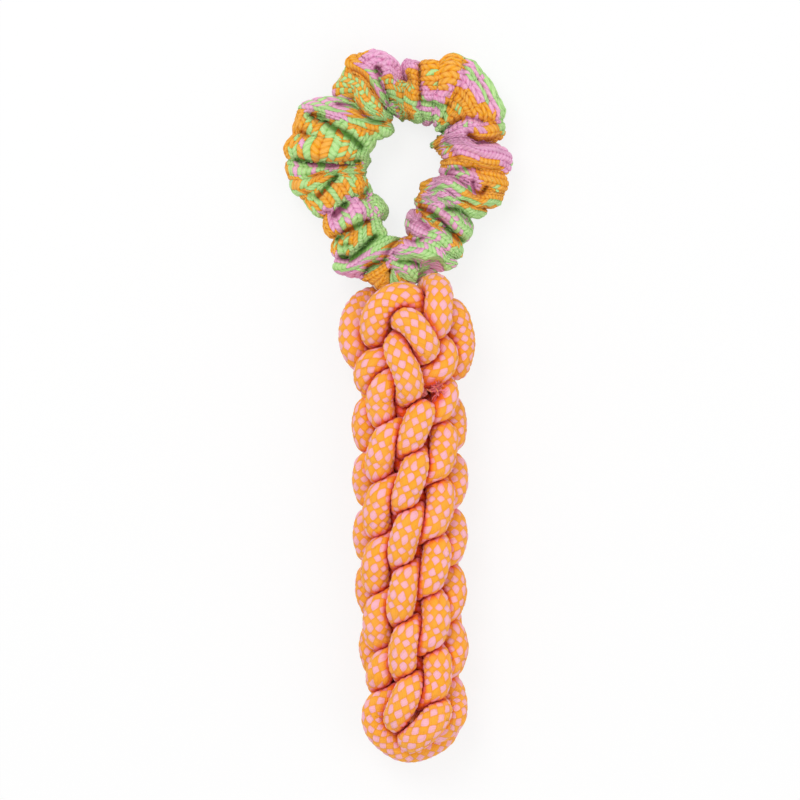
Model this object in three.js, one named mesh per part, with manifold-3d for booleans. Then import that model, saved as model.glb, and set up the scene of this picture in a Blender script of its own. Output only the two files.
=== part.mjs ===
// A rope dog toy: a stick plaited from thick round cord, with a gathered fabric ring at its head.
// Millimetres. The toy lies on its back: +X is across it, +Y runs from the stick to the ring, +Z is up.
import * as THREE from "three";
import { mergeVertices } from "three/addons/utils/BufferGeometryUtils.js";
import Module from "manifold-3d";

const wasm = await Module();
wasm.setup();

// Plaited cord
const cord_diameter = 12.1;
const tier_pitch = 11.7; // along the stick, from one row of lobes to the next
const head_radius = 27;
const head_offset = 1.7; // the head leans to one side by this much
const waist_radius = 22.6;
const shoulder_radius = 24.2;
const foot_radius = 21;
const flat_depth = 1.2; // a tenth of the cord's diameter, cut off where the plait lies on a surface
const settled_drop = 0.9; // how far the plait sinks as its lobes squash together
const clearance = 0.35; // between pieces that touch
const surface_length = 420; // of the surface that the toy lies on
const surface_width = 160;

// Core cord, the thread round its foot and its frayed end
const core_diameter = 5.6;
const whipping_length = 8;
const whipping_thickness = 0.9;
const whipping_start = 8; // from the core's foot
const fray_length = 5;
const fray_diameter = 5;

// Ring handle
const ring_width = 31; // across the band, as it lies
const ring_thickness = 24;
const fold_depth = 4.4;
const neck_diameter = 9;
const neck_length = 12;
const swell_length = 18; // over which the sleeve widens from its neck
const bore_diameter = 5.8;
const elastic_diameter = 4.8;
const join_length = 3;
const lashing_thickness = 1.6;
const lashing_length = 6.2;

// Counts, and the plait's shape as shares of the cord's diameter and as angles
const cord_sides = 8;
const ring_steps = 52;
const ring_sides = 16;
const bore_sides = 6;
const round_sides = 24;
const fold_count = 13;
const steps_per_tier = 8;
const settle_rounds = 160;
const fold_waves = 2.5; // how often the folds' slant changes round the ring
const route_step_share = 1 / 3;
const own_reach_share = 2.6; // stretches of one cord nearer than this along it aren't pushed apart
const weld_share = 0.001;
const lobe_thickness_share = 0.9;
const inner_thickness_share = 0.46;
const inner_route_share = 0.62;
const lobe_rise_share = 0.52;
const tier_turn = (-135 * Math.PI) / 180;
const lobe_swing = 0.31;
const slant_share = 0.13;
const tight_bend_share = 0.85;
const plait_smoothing_share = 0.05;
const free_smoothing_share = 0.14;
const plait_hold_share = 0.06;
const free_hold_share = 0.03;
const first_tier = -1.75;
const last_tier = 11.25;

const lobe_radius = (cord_diameter * lobe_thickness_share) / 2;
const inner_radius = (cord_diameter * inner_thickness_share) / 2;
const core_radius = core_diameter / 2;
const bore_radius = bore_diameter / 2;
const elastic_radius = elastic_diameter / 2;
const neck_radius = neck_diameter / 2;
const lashing_inner = neck_radius + clearance;
const lashing_outer = lashing_inner + lashing_thickness;

// Materials
function cloth(colour, roughness) {
  return new THREE.MeshStandardMaterial({ color: colour, roughness, metalness: 0 });
}
const cord_one_look = cloth(0xffab4a, 0.92);
const cord_two_look = cloth(0xffa85a, 0.92);
const core_look = cloth(0xf79a70, 0.92);
const fray_look = cloth(0xe8506a, 0.95);
const sleeve_look = cloth(0xc9c070, 0.95);
const elastic_look = cloth(0xf2efe6, 0.7);
const thread_look = cloth(0xf0a030, 0.8);

// Outer radius of the plait at a tier, eased between the named radii
const radius_steps = [
  [-3, head_radius],
  [-1, head_radius],
  [0, waist_radius],
  [1, shoulder_radius],
  [3, shoulder_radius],
  [11, foot_radius],
  [13, foot_radius],
];
const lean_steps = [
  [-1, -head_offset],
  [1, 0],
];

function stepped(table, at) {
  const after = table.findIndex((row) => row[0] >= at);
  if (after < 0) return table[table.length - 1][1];
  if (after === 0) return table[0][1];
  const [from, low] = table[after - 1];
  const [to, high] = table[after];
  const share = (at - from) / (to - from);
  return low + (high - low) * share * share * (3 - 2 * share);
}

// One leg's centre at a tier, and its cord's radius there
function leg_point(leg, tier) {
  const cycle = 2 * Math.PI * tier;
  const outer = stepped(radius_steps, tier);
  const lobe = 0.5 + 0.5 * Math.cos(cycle);
  const inner_route = cord_diameter * inner_route_share;
  const out = inner_route + (outer - lobe_radius - inner_route) * lobe;
  const turn = tier_turn * tier + (leg * Math.PI) / 2 + Math.PI / 4 + lobe_swing * Math.sin(cycle);
  return {
    x: stepped(lean_steps, tier) + out * Math.sin(turn),
    y: -tier_pitch * tier - cord_diameter * lobe_rise_share * Math.sin(cycle),
    z: outer - flat_depth - settled_drop + out * Math.cos(turn),
    radius: inner_radius + (lobe_radius - inner_radius) * lobe,
    free: 0,
  };
}

// Legs of the plait from the head down, tier by tier
function leg_run(leg) {
  const points = [];
  const count = Math.round((last_tier - first_tier) * steps_per_tier);
  for (let step = 0; step <= count; step++) {
    points.push(leg_point(leg, first_tier + step / steps_per_tier));
  }
  return points;
}

// Routes that the formula doesn't make, chosen by hand: x, y and z of the cord's centre, and its thickness as a
// share of the full lobe's. Each runs down the toy or from the first leg to the second.
const foot_routes = [
  [[-6, -136, 40, 1], [-9, -140, 36, 0.9], [-8, -142, 29, 0.7], [-3, -140, 24, 0.6]],
  [[13, -133, 29, 0.9], [8, -138, 29, 0.7], [2, -136, 30, 0.6]],
  [[13, -132, 30, 0.8], [10, -137, 37, 1], [3, -141, 38, 1], [-3, -146, 33, 1], [-4, -148, 26, 0.8],
    [1, -146, 20, 0.6]],
  [[-18, -138, 22, 1], [-12, -143.6, 22, 1], [-3, -146.9, 22, 1], [6, -146, 21, 1], [14, -141, 20, 1],
    [17, -136, 17, 0.9], [13, -133, 12, 0.7]],
];
const first_bight = [
  [-17.5, 27, 39, 1], [-19.5, 33, 37, 1], [-16.5, 40, 38, 1], [-8, 44, 40.5, 1], [0, 44, 41, 1],
  [6, 41.4, 38.5, 1], [12.5, 38.5, 34, 0.9], [19, 36.5, 30, 0.9], [23.5, 32.5, 24, 1], [21, 35.5, 15, 1],
  [10, 38.5, 9.5, 1], [0, 39.5, 9, 1], [-10, 40, 9.5, 1], [-18, 40, 14, 1], [-25, 36, 21, 1],
  [-26.5, 29, 24, 1], [-18, 22, 22, 0.8], [-8, 22, 18, 0.6], [4, 25, 12, 0.7],
];
const second_bight = [
  [10, 20, 43, 1], [4, 27.5, 46, 1], [-2, 33, 44, 1], [-6, 35, 38, 0.9], [-3, 32, 32, 0.7],
  [5, 27, 30, 0.6], [12, 26, 33, 0.8], [15.5, 31, 40, 1], [15.5, 36.5, 44, 1], [13, 41.8, 40, 1],
  [12, 43.3, 32, 0.95], [11, 41.3, 23, 0.9], [8, 37, 19, 0.8], [0, 30, 15, 0.7], [-9, 27, 11, 0.9],
];
const core_route = [
  [-1, -131, 26, 1], [0, -120, 20.5, 1], [0, -90, 21.5, 1], [0, -60, 22.5, 1], [0, -30, 23, 1],
  [-1, -12, 23, 1], [2, -3, 26, 1], [8, 1, 33, 1], [12, 3, 40, 0.9],
];
const ring_neck = [-7, 46.5, 22];
const ring_route = [
  [-17.5, 51, 19.5], [-24, 59, 16.5], [-30, 72, 13.8], [-34, 86, 13], [-34.5, 99, 12.7], [-30.5, 114.5, 12.7],
  [-20.5, 126.5, 12.7], [-6, 132.3, 12.7], [8, 131.3, 12.7], [20.5, 123, 12.7], [26, 108, 12.7],
  [26.5, 92, 12.7], [20, 80, 13], [12.5, 70, 14.2], [8, 61.5, 16.5], [2.5, 52.5, 19.5],
];

function spaced(points, step) {
  const line = new THREE.CatmullRomCurve3(points.map((p) => new THREE.Vector3(...p)));
  const count = Math.max(2, Math.round(line.getLength() / step));
  return line.getSpacedPoints(count);
}

// A hand-chosen route between two made points, at about the plait's own spacing
function join_route(before, route, after) {
  const step = cord_diameter * route_step_share;
  const ends = [before, ...route.map(([x, y, z, share]) => ({ x, y, z, radius: share * lobe_radius })), after];
  const known = ends.filter((p) => p);
  const line = new THREE.CatmullRomCurve3(known.map((p) => new THREE.Vector3(p.x, p.y, p.z)));
  const count = Math.max(2, Math.round(line.getLength() / step));
  const points = [];
  for (let i = 0; i <= count; i++) {
    const share = line.getUtoTmapping(i / count);
    const at = line.getPoint(share);
    const place = share * (known.length - 1);
    const low = Math.min(known.length - 2, Math.floor(place));
    const radius = known[low].radius + (known[low + 1].radius - known[low].radius) * (place - low);
    points.push({ x: at.x, y: at.y, z: at.z, radius, free: 1 });
  }
  return points.slice(before ? 1 : 0, after ? -1 : undefined);
}

// Each folded cord: up one leg, over the head and down the other
function folded_cord(leg, other_leg, bight) {
  const down = leg_run(leg);
  const other = leg_run(other_leg);
  const foot = join_route(down[down.length - 1], foot_routes[leg], null);
  const other_foot = join_route(other[other.length - 1], foot_routes[other_leg], null);
  const over = join_route(down[0], bight, other[0]);
  return [...foot.reverse(), ...down.reverse(), ...over, ...other, ...other_foot];
}

// The core, thicker where the thread is wound round it, with its frayed end as the last stretch
function core_cord() {
  const step = cord_diameter * route_step_share;
  const points = spaced(core_route.map((p) => p.slice(0, 3)), step);
  const wound = core_radius + clearance + whipping_thickness;
  return points.map((p, i) => {
    const from_foot = i * step;
    const from_top = (points.length - 1 - i) * step;
    const whipped = from_foot >= whipping_start && from_foot <= whipping_start + whipping_length;
    const frayed = from_top <= fray_length;
    const radius = whipped ? wound : core_radius;
    return { x: p.x, y: p.y, z: p.z, radius, free: 1, whipped, frayed };
  });
}

// Pushes the cords apart where they touch, as they settle in the hand-tightened plait. Points made by the
// formula are held near their places and the others give way.
function settle(cords, blocks) {
  const all = [];
  cords.forEach((cord, which) => {
    let along = 0;
    cord.forEach((p, i) => {
      if (i > 0) along += Math.hypot(p.x - cord[i - 1].x, p.y - cord[i - 1].y, p.z - cord[i - 1].z);
      p.along = along;
      p.which = which;
      p.home = [p.x, p.y, p.z];
      all.push(p);
    });
  });
  const room = 2 * lobe_radius;
  for (let round = 0; round < settle_rounds; round++) {
    for (const p of all) p.push = [0, 0, 0];
    for (let i = 0; i < all.length; i++) {
      const p = all[i];
      for (let j = i + 1; j < all.length; j++) {
        const q = all[j];
        if (Math.abs(p.y - q.y) > room) continue;
        if (p.which === q.which && Math.abs(p.along - q.along) < own_reach_share * (p.radius + q.radius)) continue;
        const gap = [p.x - q.x, p.y - q.y, p.z - q.z];
        const far = Math.hypot(...gap);
        const need = p.radius + q.radius + 2 * clearance - far;
        if (need <= 0) continue;
        for (let k = 0; k < 3; k++) {
          const move = (need * gap[k]) / (4 * far);
          p.push[k] += move;
          q.push[k] -= move;
        }
      }
      for (const [x, y, z, radius] of blocks) {
        const gap = [p.x - x, p.y - y, p.z - z];
        const far = Math.hypot(...gap);
        const need = p.radius + radius + clearance - far;
        if (need > 0) for (let k = 0; k < 3; k++) p.push[k] += (need * gap[k]) / far;
      }
    }
    for (const cord of cords) {
      cord.forEach((p, i) => {
        const before = cord[Math.max(0, i - 1)];
        const after = cord[Math.min(cord.length - 1, i + 1)];
        const ends = i === 0 || i === cord.length - 1;
        const soft = ends ? 0 : p.free ? free_smoothing_share : plait_smoothing_share;
        const held = p.free ? free_hold_share : plait_hold_share;
        p.push[0] += soft * ((before.x + after.x) / 2 - p.x) + held * (p.home[0] - p.x);
        p.push[1] += soft * ((before.y + after.y) / 2 - p.y) + held * (p.home[1] - p.y);
        p.push[2] += soft * ((before.z + after.z) / 2 - p.z) + held * (p.home[2] - p.z);
      });
    }
    for (const p of all) {
      p.x += p.push[0];
      p.y += p.push[1];
      p.z += p.push[2];
    }
  }
}

// A cord is squashed where its neighbours pinch it or where it bends tightly
function squash(cords) {
  const fine = [];
  for (const cord of cords) {
    cord.forEach((p, i) => {
      p.limit = p.radius;
      const next = cord[Math.min(cord.length - 1, i + 1)];
      fine.push({ x: p.x, y: p.y, z: p.z, along: p.along, owners: [p, p] });
      if (next !== p) {
        fine.push({
          x: (p.x + next.x) / 2,
          y: (p.y + next.y) / 2,
          z: (p.z + next.z) / 2,
          along: (p.along + next.along) / 2,
          owners: [p, next],
        });
      }
    });
  }
  const room = 2 * lobe_radius + clearance;
  for (let i = 0; i < fine.length; i++) {
    const p = fine[i];
    const thick = (p.owners[0].radius + p.owners[1].radius) / 2;
    for (let j = i + 1; j < fine.length; j++) {
      const q = fine[j];
      if (Math.abs(p.y - q.y) > room) continue;
      const other = (q.owners[0].radius + q.owners[1].radius) / 2;
      const same = p.owners[0].which === q.owners[0].which;
      if (same && Math.abs(p.along - q.along) < own_reach_share * (thick + other)) continue;
      const far = Math.hypot(p.x - q.x, p.y - q.y, p.z - q.z) - clearance;
      const share = far / (thick + other);
      if (share >= 1) continue;
      for (const owner of p.owners) owner.limit = Math.min(owner.limit, owner.radius * share);
      for (const owner of q.owners) owner.limit = Math.min(owner.limit, owner.radius * share);
    }
  }
  for (const cord of cords) {
    cord.forEach((p, i) => {
      if (i === 0 || i === cord.length - 1) return;
      const back = new THREE.Vector3(p.x - cord[i - 1].x, p.y - cord[i - 1].y, p.z - cord[i - 1].z);
      const ahead = new THREE.Vector3(cord[i + 1].x - p.x, cord[i + 1].y - p.y, cord[i + 1].z - p.z);
      const bend = (back.length() + ahead.length()) / 2 / back.angleTo(ahead);
      p.limit = Math.min(p.limit, tight_bend_share * bend);
    });
    for (const p of cord) p.radius = p.limit;
  }
}

// The least space between two cords' surfaces, or between two stretches of one
function least_gap(cords) {
  const all = cords.flat();
  let least = Infinity;
  for (let i = 0; i < all.length; i++) {
    for (let j = i + 1; j < all.length; j++) {
      const p = all[i];
      const q = all[j];
      if (p.which === q.which && Math.abs(p.along - q.along) < own_reach_share * (p.radius + q.radius)) continue;
      least = Math.min(least, Math.hypot(p.x - q.x, p.y - q.y, p.z - q.z) - p.radius - q.radius);
    }
  }
  return least;
}

// Directions across a line at each of its points, turned as little as possible from one to the next
function frames_along(points, closed) {
  const last = points.length - 1;
  const frames = [];
  let side = null;
  points.forEach((p, i) => {
    const before = points[i === 0 ? (closed ? last : 0) : i - 1];
    const after = points[i === last ? (closed ? 0 : last) : i + 1];
    const ahead = new THREE.Vector3().subVectors(after, before).normalize();
    if (!side) {
      const up = new THREE.Vector3(0, 0, 1);
      side = new THREE.Vector3().crossVectors(up, ahead).normalize();
    }
    side = side.clone().addScaledVector(ahead, -side.dot(ahead)).normalize();
    frames.push({ ahead, side, up: new THREE.Vector3().crossVectors(ahead, side).normalize() });
  });
  return frames;
}

function mesh_geometry(positions, triangles) {
  const geometry = new THREE.BufferGeometry();
  geometry.setAttribute("position", new THREE.Float32BufferAttribute(positions, 3));
  geometry.setIndex(triangles);
  return geometry;
}

// Rows of points joined into one closed skin: ends are fanned shut, or the last row joins the first
function skin(rows, closed) {
  const positions = [];
  const triangles = [];
  const sides = rows[0].length;
  rows.forEach((row) => row.forEach((p) => positions.push(p.x, p.y, p.z)));
  const spans = closed ? rows.length : rows.length - 1;
  for (let row = 0; row < spans; row++) {
    const next = (row + 1) % rows.length;
    for (let i = 0; i < sides; i++) {
      const j = (i + 1) % sides;
      const a = row * sides + i;
      const b = row * sides + j;
      const c = next * sides + i;
      const d = next * sides + j;
      triangles.push(a, b, d, a, d, c);
    }
  }
  if (!closed) {
    for (const [row, flip] of [[0, true], [rows.length - 1, false]]) {
      for (let i = 1; i < sides - 1; i++) {
        const fan = [row * sides, row * sides + i, row * sides + i + 1];
        triangles.push(...(flip ? [fan[0], fan[2], fan[1]] : fan));
      }
    }
  }
  return mesh_geometry(positions, triangles);
}

function tube(points, sides, radius_at) {
  const vectors = points.map((p) => new THREE.Vector3(p.x, p.y, p.z));
  const frames = frames_along(vectors, false);
  const rows = vectors.map((at, i) => {
    const row = [];
    for (let k = 0; k < sides; k++) {
      const turn = (2 * Math.PI * k) / sides;
      const out = new THREE.Vector3()
        .addScaledVector(frames[i].side, Math.cos(turn))
        .addScaledVector(frames[i].up, Math.sin(turn));
      row.push(at.clone().addScaledVector(out, radius_at(i)));
    }
    return row;
  });
  return skin(rows, false);
}

function solid_of(geometry) {
  const bare = geometry.clone();
  for (const name of Object.keys(bare.attributes)) if (name !== "position") bare.deleteAttribute(name);
  const merged = mergeVertices(bare, clearance * weld_share);
  const index = merged.index.array;
  return new wasm.Manifold(
    new wasm.Mesh({
      numProp: 3,
      vertProperties: new Float32Array(merged.attributes.position.array),
      triVerts: new Uint32Array(index),
    }),
  );
}

function geometry_of(solid) {
  const mesh = solid.getMesh();
  return mesh_geometry(Array.from(mesh.vertProperties), Array.from(mesh.triVerts));
}

// What lies below the surface that the toy rests on
function below_surface() {
  const slab = new THREE.BoxGeometry(surface_width, surface_length, cord_diameter);
  slab.translate(0, 0, -cord_diameter / 2);
  return solid_of(slab);
}

const cords = [folded_cord(0, 2, first_bight), folded_cord(1, 3, second_bight), core_cord()];
const pocket_reach = Math.hypot(lashing_outer, lashing_length / 3);
const pocket = [-1, 0, 1].map((k) => [
  ring_neck[0] + (k * lashing_length) / 2,
  ring_neck[1] + clearance,
  ring_neck[2],
  pocket_reach,
]);
settle(cords, pocket);
squash(cords);
console.log(`least gap between cords: ${least_gap(cords).toFixed(2)} mm`);

// Where a stretch of a line begins and ends, moved in by a named amount at each end
function trimmed(points, from_start, from_end) {
  const line = points.map((p) => new THREE.Vector3(p.x, p.y, p.z));
  const first = new THREE.Vector3().subVectors(line[1], line[0]).setLength(from_start);
  const last = line.length - 1;
  const final = new THREE.Vector3().subVectors(line[last - 1], line[last]).setLength(from_end);
  line[0].add(first);
  line[last].add(final);
  return line;
}

const toy = new THREE.Group();

function add(name, geometry, look) {
  const mesh = new THREE.Mesh(geometry, look);
  mesh.name = name;
  toy.add(mesh);
  return mesh;
}

const slab = below_surface();
function plaited(cord) {
  return geometry_of(solid_of(tube(cord, cord_sides, (i) => cord[i].radius)).subtract(slab));
}

add("plait_cord_1", plaited(cords[0]), cord_one_look);
add("plait_cord_2", plaited(cords[1]), cord_two_look);

const core = cords[2].filter((p) => !p.frayed);
const fray = cords[2].filter((p, i) => p.frayed || (cords[2][i + 1] && cords[2][i + 1].frayed));
const whipped = cords[2].filter((p) => p.whipped);
add("core_cord", tube(core, cord_sides, (i) => (core[i].whipped ? core_radius : core[i].radius)), core_look);

function whipping() {
  const inner = core_radius + clearance;
  const outside = tube(whipped, cord_sides, () => inner + whipping_thickness);
  const longer = trimmed(whipped, -whipping_thickness, -whipping_thickness);
  const hole = tube(longer, cord_sides, () => inner);
  return geometry_of(solid_of(outside).subtract(solid_of(hole)));
}
add("lower_whipping", whipping(), thread_look);

function frayed_end() {
  const line = trimmed(fray, 2 * clearance, 0);
  const spread_shares = [0.8, 0.9, 1, 1, 0.9, 0.7, 0.35];
  const steps = new THREE.CatmullRomCurve3(line).getSpacedPoints(spread_shares.length - 1);
  return tube(steps, cord_sides, (i) => (spread_shares[i] * fray_diameter) / 2);
}
add("frayed_end", frayed_end(), fray_look);

// The ring's line, from one side of the join right round to the other, straight in the neck
function ring_line() {
  const half = neck_length / 2;
  const start = join_length / 2 + clearance;
  const [x, y, z] = ring_neck;
  const places = [[x - half, y, z], ...ring_route, [x + half, y, z]].map((p) => new THREE.Vector3(...p));
  const round = new THREE.CatmullRomCurve3(places, false, "centripetal").getSpacedPoints(ring_steps);
  return [new THREE.Vector3(x - start, y, z), ...round, new THREE.Vector3(x + start, y, z)];
}

const ring_points = ring_line();
const ring_frames = frames_along(ring_points, false);
const ring_long = ring_points.slice(1).reduce((sum, p, i) => sum + p.distanceTo(ring_points[i]), 0);
const neck_end = (neck_length - join_length) / 2 - clearance;

// The gathered sleeve: an oval band whose folds cross it aslant, drawn in to a round neck at both ends
function sleeve_rows() {
  let along = 0;
  return ring_points.map((at, row) => {
    if (row > 0) along += at.distanceTo(ring_points[row - 1]);
    const from_end = Math.min(along, ring_long - along);
    const swell = THREE.MathUtils.smoothstep(from_end, neck_end, neck_end + swell_length);
    const points = [];
    for (let k = 0; k < ring_sides; k++) {
      const turn = (2 * Math.PI * k) / ring_sides;
      const wave = Math.cos((2 * Math.PI * fold_waves * along) / ring_long);
      const slant = slant_share * Math.sin(turn + Math.PI / 4) * wave;
      const fold = Math.cos(2 * Math.PI * (fold_count * (along / ring_long) + slant));
      const dip = (fold_depth / 2) * (1 - fold) * swell;
      const wide = neck_radius + (ring_width / 2 - neck_radius) * swell - dip;
      const high = neck_radius + (ring_thickness / 2 - neck_radius) * swell - dip;
      points.push(
        at
          .clone()
          .addScaledVector(ring_frames[row].side, wide * Math.cos(turn))
          .addScaledVector(ring_frames[row].up, high * Math.sin(turn)),
      );
    }
    return points;
  });
}

function round_rows(points, frames, radius) {
  return points.map((at, row) => {
    const ring = [];
    for (let k = 0; k < bore_sides; k++) {
      const turn = (2 * Math.PI * k) / bore_sides;
      ring.push(
        at
          .clone()
          .addScaledVector(frames[row].side, radius * Math.cos(turn))
          .addScaledVector(frames[row].up, radius * Math.sin(turn)),
      );
    }
    return ring;
  });
}

function sleeve() {
  const bore_line = trimmed(ring_points, -clearance, -clearance);
  const bore = skin(round_rows(bore_line, ring_frames, bore_radius), false);
  return geometry_of(solid_of(skin(sleeve_rows(), false)).subtract(solid_of(bore)));
}
add("ring_sleeve", sleeve(), sleeve_look);
add("ring_elastic", skin(round_rows(ring_points, ring_frames, elastic_radius), true), elastic_look);

// A short tube round the neck's axis
function collar(inner, outer, long) {
  const half = long / 2;
  const edge = (outer - inner) / 4;
  const profile = [
    [inner, -half],
    [outer - edge, -half],
    [outer, edge - half],
    [outer, half - edge],
    [outer - edge, half],
    [inner, half],
    [inner, -half],
  ];
  const geometry = new THREE.LatheGeometry(profile.map((p) => new THREE.Vector2(...p)), round_sides);
  geometry.rotateZ(Math.PI / 2);
  geometry.translate(...ring_neck);
  return geometry_of(solid_of(geometry));
}
add("elastic_join", collar(elastic_radius + clearance, neck_radius, join_length), thread_look);
add("ring_lashing", collar(lashing_inner, lashing_outer, lashing_length), thread_look);

// The origin: middle of the toy's box, on the surface that it lies on
toy.updateMatrixWorld(true);
const box = new THREE.Box3().setFromObject(toy, true);
toy.position.set(-(box.min.x + box.max.x) / 2, -(box.min.y + box.max.y) / 2, -box.min.z);
const pivot = new THREE.Vector3(...ring_neck).add(toy.position);
console.log(`ring turns about ${pivot.toArray().map((v) => v.toFixed(3))}`);

export default toy;
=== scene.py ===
# Looks of the rope dog toy: a plait of checked cord with a frayed core, and a ring of gathered fabric.
# Lengths are in millimetres here, and each mesh is made in metres, in the CAD's frame.
import math
from functools import partialmethod

import bpy
import numpy as np
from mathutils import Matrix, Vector


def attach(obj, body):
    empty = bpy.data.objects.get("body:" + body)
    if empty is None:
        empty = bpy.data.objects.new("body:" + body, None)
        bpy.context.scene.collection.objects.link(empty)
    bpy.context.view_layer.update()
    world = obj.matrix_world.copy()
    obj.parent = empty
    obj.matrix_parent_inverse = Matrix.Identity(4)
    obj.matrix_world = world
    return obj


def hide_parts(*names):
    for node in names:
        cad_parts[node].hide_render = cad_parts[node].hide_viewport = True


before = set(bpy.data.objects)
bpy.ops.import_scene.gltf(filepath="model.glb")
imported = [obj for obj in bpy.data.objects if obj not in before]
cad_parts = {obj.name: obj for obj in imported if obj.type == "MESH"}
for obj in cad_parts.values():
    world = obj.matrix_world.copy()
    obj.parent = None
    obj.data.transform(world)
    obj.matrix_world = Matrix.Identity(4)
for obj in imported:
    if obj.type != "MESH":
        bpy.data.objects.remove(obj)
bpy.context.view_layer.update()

MM = 0.001
SHIFT = np.array([4.380, 4.044, 0.0])  # from the plait's own axes to the frame's
PHOTO_SIZE = 800  # pixels
PIXEL = 0.418  # mm of the toy in one pixel of the photograph
AXIS_PIXEL = np.array([410, 396])  # where the plait's own axes cross in the photograph
FAR = 1e9

# The plait's route: the formula of the part's source and a slow turn, with given points at its ends
cord_diameter = 12.1
tier_pitch = 11.7
head_radius, waist_radius, shoulder_radius, foot_radius = 27, 22.6, 24.2, 21
head_offset = 1.7
flat_depth, settled_drop = 1.2, 0.9
clearance = 0.35
core_radius, whipping_thickness = 2.8, 0.9
whipping_from, whipping_to = 8, 16  # mm along the core
neck_radius = 4.5
lashing_thickness, lashing_length = 1.6, 6.2
steps_per_tier, settle_rounds = 8, 160
lobe_radius = cord_diameter * 0.9 / 2
inner_radius = cord_diameter * 0.46 / 2
inner_route = cord_diameter * 0.62
leg_wave = cord_diameter * 0.52
point_spacing = cord_diameter / 3
last_tier = 11.25
radius_steps = [(-3, head_radius), (-1, head_radius), (0, waist_radius), (1, shoulder_radius),
                (3, shoulder_radius), (11, foot_radius), (13, foot_radius)]
lean_steps = [(-1, -head_offset), (1, 0), (7, 0), (10, 0.7)]
twist_steps = [(-0.4, 0), (1, 7), (3, 0), (5, -6), (7, -11), (9.4, -13), (10.6, 0)]
swing_steps = [(1, 0.10), (3, 0), (9.6, 0), (10.6, 0.10)]
# Each point is x, y and z, and the share of its full thickness that the cord has there where it is thinner
foot_routes = [
    [(1, -123.5, 36.5), (-2.4, -128.5, 38.5), (-5.4, -132.8, 37.5), (-7.8, -135.8, 33, 0.95),
     (-8, -136.5, 27, 0.75), (-4, -135, 22, 0.6)],
    [(13, -133, 29, 0.9), (8, -138, 29, 0.7), (2, -136, 30, 0.6)],
    [(13, -132, 30, 0.8), (10, -136.5, 37), (4, -140, 38), (-1, -142.6, 34), (-1.5, -141.5, 27, 0.75),
     (2, -138, 22, 0.6)],
    [(-10.5, -125, 25), (-14, -131, 26.5), (-14.4, -137, 25), (-10.5, -143, 23), (-3, -147.2, 22),
     (6, -146.6, 21), (14, -141, 20), (17, -135.5, 17, 0.9), (13, -132.5, 12, 0.7)],
]
# The head: each leg's own start, from its first regular lobe up, then the two bights over the top
head_starts = [
    [(-9, 23, 17, 0.8), (-15, 20.5, 25, 0.9)],
    [(-14, 4.5, 21, 0.8), (-18.2, 7, 28), (-17.8, 11.9, 33), (-14.6, 16, 35.5), (-8.8, 17.2, 34, 0.9),
     (-2, 16.5, 31, 0.7), (5, 15, 31.5, 0.7), (9, 15.2, 36, 0.9)],
    [(0.2, 0.5, 39), (-0.2, 4.5, 43.6), (-0.5, 9.5, 45.6), (-1, 14, 45.6), (-2, 19, 44), (-3.6, 23.5, 40),
     (-4, 24.5, 34, 0.8), (-3.5, 21, 28, 0.6), (-5, 15, 24, 0.6), (-9, 11.5, 21, 0.7),
     (-15, 10.5, 19.5, 0.9)],
    [(5, 4.5, 30, 0.8), (10, 7, 35), (12.8, 12, 36.5), (15.2, 18, 34.5), (16, 23, 30, 0.9),
     (13, 24.5, 24, 0.7), (5, 24, 19, 0.6), (-3, 25.5, 14.5, 0.8)],
]
first_tiers = [-1.25, -0.45, -0.62, -0.62]
last_tiers = [10.75, last_tier, last_tier, 10.65]
first_bight = [
    (-15.6, 24.5, 34), (-16.2, 29.5, 38), (-16, 34, 38.5), (-13.2, 38.2, 39), (-7.6, 40.6, 40),
    (-1.5, 41, 40.5), (4, 40, 38, 0.95), (9.6, 37.6, 32, 0.85), (14, 39, 28.8, 0.95), (18.2, 39.8, 28),
    (20.4, 35.6, 27.4), (19.6, 28, 26.5), (19.3, 20, 26.5), (19.2, 12.5, 25), (18.4, 8.5, 18, 0.9),
    (18, 16, 12, 0.9), (15, 26, 9), (9, 33, 7.5), (0, 38.5, 8), (-10, 41.5, 10), (-17.6, 41.8, 14.5),
    (-22.8, 36.5, 20.5), (-24.2, 31, 25), (-23.8, 24.5, 25.5), (-22.4, 17, 23.5), (-20.3, 11.5, 20),
]
second_bight = [
    (8, 18.5, 41), (7.3, 23.5, 44.5), (4, 28.6, 46), (-1.2, 33, 44.5), (-5.8, 34.2, 40, 0.95),
    (-5.5, 31, 34, 0.7), (1, 28, 30, 0.6), (8.5, 27, 32.5, 0.8), (11.6, 28.6, 38.5), (11.2, 33, 42.4),
    (10, 37.6, 42), (9, 40.8, 37.5), (8.8, 41.5, 31), (9, 40, 22.5, 0.9), (6, 37.5, 18, 0.7),
    (-2, 36, 15, 0.8), (-8.6, 33.5, 17), (-9, 29, 17),
]
core_route = [
    (-1, -131, 26), (0, -120, 20.5), (0, -90, 21.5), (0, -60, 22.5), (0, -30, 23), (-1, -12, 23),
    (2, -3, 26), (8, 1, 33), (12, 3, 40),
]
# Three balls that the cords keep out of, where the ring's neck and its lashing lie in the mouth of the head
ring_neck = np.array([-7, 46.5, 22.0])
neck_balls = [ring_neck + (k * lashing_length / 2, clearance, 0) for k in (-1, 0, 1)]
ball_radius = math.hypot(neck_radius + clearance + lashing_thickness, lashing_length / 3)
# How much a point is drawn between its neighbours and back to its route, for the end routes and for the legs
free_smoothing, leg_smoothing = 0.14, 0.05
free_hold, leg_hold = 0.03, 0.06
own_stretch = 2.6  # a point isn't pushed by its own cord within this many times their reach


def stepped(table, at):
    """Value at a place in a table of places and values, eased from each row to the next"""
    at = min(max(at, table[0][0]), table[-1][0])
    for (a, low), (b, high) in zip(table, table[1:]):
        if at <= b:
            s = (at - a) / (b - a)
            return low + (high - low) * s * s * (3 - 2 * s)


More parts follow.
